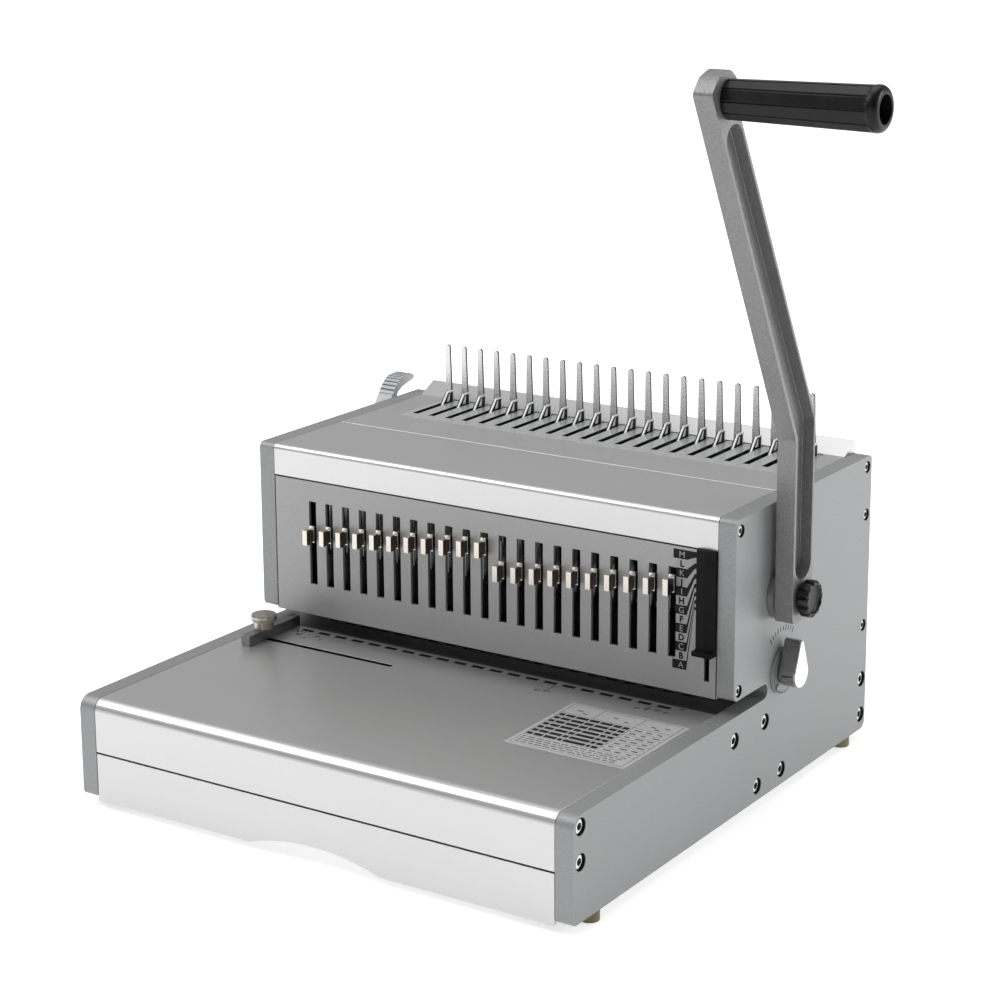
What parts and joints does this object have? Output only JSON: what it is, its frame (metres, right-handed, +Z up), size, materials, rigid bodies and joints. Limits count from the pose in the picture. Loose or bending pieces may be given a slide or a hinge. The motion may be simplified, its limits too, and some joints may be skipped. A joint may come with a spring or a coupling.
{
  "type": "manual comb binding machine",
  "caption": "Desktop punch and binder for plastic combs: a lever handle drives a row of dies with pull tabs, hooks and prongs open the comb, with a gauge, an edge guide and a chip drawer.",
  "frame": {"origin": "under the middle of the overall box, on the surface that the feet stand on", "axes": "+Z up; the paper table's front looks along -Y; the lever handle is on the +X side"},
  "size_m": [0.5072, 0.385, 0.4857],
  "materials": {
    "powder_grey": "fine hammered powder coat",
    "hammered_grey": "hammered silver paint",
    "satin_silver": "satin silver paint",
    "panel_grey": "fine satin grey paint",
    "tool_steel": "ground",
    "bright_steel": "satin",
    "satin_zinc": "satin zinc plate",
    "chrome_wire": "bright chrome",
    "nickel": "warm satin nickel plate",
    "bronze": "sintered bronze",
    "black_plastic": "satin black",
    "opener_grey": "satin grey",
    "grip_rubber": "fluted satin rubber",
    "foot_rubber": "matt olive"
  },
  "bodies": {
    "frame": {"side_plate_left": "powder_grey", "side_plate_right": "powder_grey", "tie_bars": "panel_grey", "die_block": "tool_steel", "die_plate": "tool_steel", "table_cover": "satin_silver", "front_panel": "panel_grey", "top_cover": "satin_silver", "rear_top_panel": "satin_silver", "rear_cover": "satin_silver", "comb_deck": "satin_zinc", "comb_prongs": "bright_steel", "die_guide_block": "black_plastic", "ram_guides": "panel_grey", "return_springs": "bright_steel", "shaft_bushes": "bronze", "slide_rails": "panel_grey", "rubber_feet": "foot_rubber", "plate_screws": "bright_steel", "margin_dial_plate": "powder_grey"},
    "handle": {"main_shaft": "tool_steel", "handle_arm": "hammered_grey", "grip_rod": "bright_steel", "handle_grip": "grip_rubber"},
    "lock_knob": {"handle_knob": "black_plastic"},
    "ram": {"ram_bar": "tool_steel", "punch_dies": "bright_steel"},
    "opener_lever": {"comb_lever": "opener_grey", "lever_shaft": "tool_steel"},
    "hook_slide": {"hook_carriage": "tool_steel", "comb_hooks": "chrome_wire"},
    "drawer": {"drawer_tray": "satin_silver", "drawer_front": "satin_silver"},
    "guide": {"edge_guide": "tool_steel", "guide_clamp_nut": "tool_steel"},
    "thumb_screw": {"guide_thumb_screw": "nickel"},
    "margin_control": {"margin_knob": "chrome_wire"},
    "stop_bar": {"depth_stop": "tool_steel"},
    "gauge": {"gauge_slider": "black_plastic"},
    "pin_01": {"pull_pin_01": "nickel"},
    "pin_02": {"pull_pin_02": "nickel"},
    "pin_03": {"pull_pin_03": "nickel"},
    "pin_04": {"pull_pin_04": "nickel"},
    "pin_05": {"pull_pin_05": "nickel"},
    "pin_06": {"pull_pin_06": "nickel"},
    "pin_07": {"pull_pin_07": "nickel"},
    "pin_08": {"pull_pin_08": "nickel"},
    "pin_09": {"pull_pin_09": "nickel"},
    "pin_10": {"pull_pin_10": "nickel"},
    "pin_11": {"pull_pin_11": "nickel"},
    "pin_12": {"pull_pin_12": "nickel"},
    "pin_13": {"pull_pin_13": "nickel"},
    "pin_14": {"pull_pin_14": "nickel"},
    "pin_15": {"pull_pin_15": "nickel"},
    "pin_16": {"pull_pin_16": "nickel"},
    "pin_17": {"pull_pin_17": "nickel"},
    "pin_18": {"pull_pin_18": "nickel"},
    "pin_19": {"pull_pin_19": "nickel"},
    "pin_20": {"pull_pin_20": "nickel"},
    "pin_21": {"pull_pin_21": "nickel"}
  },
  "joints": [
    {"name": "handle_turn", "type": "hinge", "parent": "frame", "child": "handle", "pos_m": [0.1491, 0.0568, 0.1411], "axis": [1, 0, 0], "range_deg": [0, 85], "stiffness_Nm_per_rad": 2.5, "springref_deg": -34.38},
    {"name": "ram_slide", "type": "slide", "parent": "frame", "child": "ram", "axis": [0, 0, -1], "range_m": [0, 0.0262], "deforming": ["return_springs"]},
    {"name": "comb_lever_turn", "type": "hinge", "parent": "frame", "child": "opener_lever", "pos_m": [-0.2472, 0.1395, 0.1705], "axis": [1, 0, 0], "range_deg": [0, 73.8]},
    {"name": "hook_carriage_slide", "type": "slide", "parent": "frame", "child": "hook_slide", "axis": [0, -1, 0], "range_m": [0, 0.0257]},
    {"name": "drawer_slide", "type": "slide", "parent": "frame", "child": "drawer", "axis": [0, -1, 0], "range_m": [0, 0.18]},
    {"name": "edge_guide_slide", "type": "slide", "parent": "frame", "child": "guide", "axis": [1, 0, 0], "range_m": [0, 0.104]},
    {"name": "guide_thumb_screw_turn", "type": "hinge", "parent": "guide", "child": "thumb_screw", "pos_m": [-0.2098, -0.036, 0.087], "axis": [0, 0, 1], "continuous": true},
    {"name": "handle_knob_turn", "type": "hinge", "parent": "handle", "child": "lock_knob", "pos_m": [0.1587, 0.0568, 0.1411], "axis": [1, 0, 0], "continuous": true},
    {"name": "margin_knob_turn", "type": "hinge", "parent": "frame", "child": "margin_control", "pos_m": [0.1457, 0.0631, 0.0871], "axis": [1, 0, 0], "range_deg": [-30, 30]},
    {"name": "depth_stop_slide", "type": "slide", "parent": "frame", "child": "stop_bar", "axis": [0, 1, 0], "range_m": [-0.0031, 0.0031]},
    {"name": "gauge_slider_slide", "type": "slide", "parent": "frame", "child": "gauge", "axis": [0, 0, -1], "range_m": [0, 0.015]},
    {"name": "pull_pin_01_slide", "type": "slide", "parent": "ram", "child": "pin_01", "axis": [0, -1, 0], "range_m": [0, 0.008]},
    {"name": "pull_pin_02_slide", "type": "slide", "parent": "ram", "child": "pin_02", "axis": [0, -1, 0], "range_m": [0, 0.008]},
    {"name": "pull_pin_03_slide", "type": "slide", "parent": "ram", "child": "pin_03", "axis": [0, -1, 0], "range_m": [0, 0.008]},
    {"name": "pull_pin_04_slide", "type": "slide", "parent": "ram", "child": "pin_04", "axis": [0, -1, 0], "range_m": [0, 0.008]},
    {"name": "pull_pin_05_slide", "type": "slide", "parent": "ram", "child": "pin_05", "axis": [0, -1, 0], "range_m": [0, 0.008]},
    {"name": "pull_pin_06_slide", "type": "slide", "parent": "ram", "child": "pin_06", "axis": [0, -1, 0], "range_m": [0, 0.008]},
    {"name": "pull_pin_07_slide", "type": "slide", "parent": "ram", "child": "pin_07", "axis": [0, -1, 0], "range_m": [0, 0.008]},
    {"name": "pull_pin_08_slide", "type": "slide", "parent": "ram", "child": "pin_08", "axis": [0, -1, 0], "range_m": [0, 0.008]},
    {"name": "pull_pin_09_slide", "type": "slide", "parent": "ram", "child": "pin_09", "axis": [0, -1, 0], "range_m": [0, 0.008]},
    {"name": "pull_pin_10_slide", "type": "slide", "parent": "ram", "child": "pin_10", "axis": [0, -1, 0], "range_m": [0, 0.008]},
    {"name": "pull_pin_11_slide", "type": "slide", "parent": "ram", "child": "pin_11", "axis": [0, -1, 0], "range_m": [0, 0.008]},
    {"name": "pull_pin_12_slide", "type": "slide", "parent": "ram", "child": "pin_12", "axis": [0, -1, 0], "range_m": [0, 0.008]},
    {"name": "pull_pin_13_slide", "type": "slide", "parent": "ram", "child": "pin_13", "axis": [0, -1, 0], "range_m": [0, 0.008]},
    {"name": "pull_pin_14_slide", "type": "slide", "parent": "ram", "child": "pin_14", "axis": [0, -1, 0], "range_m": [0, 0.008]},
    {"name": "pull_pin_15_slide", "type": "slide", "parent": "ram", "child": "pin_15", "axis": [0, -1, 0], "range_m": [0, 0.008]},
    {"name": "pull_pin_16_slide", "type": "slide", "parent": "ram", "child": "pin_16", "axis": [0, -1, 0], "range_m": [0, 0.008]},
    {"name": "pull_pin_17_slide", "type": "slide", "parent": "ram", "child": "pin_17", "axis": [0, -1, 0], "range_m": [0, 0.008]},
    {"name": "pull_pin_18_slide", "type": "slide", "parent": "ram", "child": "pin_18", "axis": [0, -1, 0], "range_m": [0, 0.008]},
    {"name": "pull_pin_19_slide", "type": "slide", "parent": "ram", "child": "pin_19", "axis": [0, -1, 0], "range_m": [0, 0.008]},
    {"name": "pull_pin_20_slide", "type": "slide", "parent": "ram", "child": "pin_20", "axis": [0, -1, 0], "range_m": [0, 0.008]},
    {"name": "pull_pin_21_slide", "type": "slide", "parent": "ram", "child": "pin_21", "axis": [0, -1, 0], "range_m": [0, 0.008]}
  ],
  "couplings": [
    {"joint": "ram_slide", "follows": "handle_turn", "m_per_rad": 0.0175},
    {"joint": "comb_lever_turn", "follows": "hook_carriage_slide", "rad_per_m": 50},
    {"joint": "margin_knob_turn", "follows": "depth_stop_slide", "rad_per_m": 166.67}
  ]
}
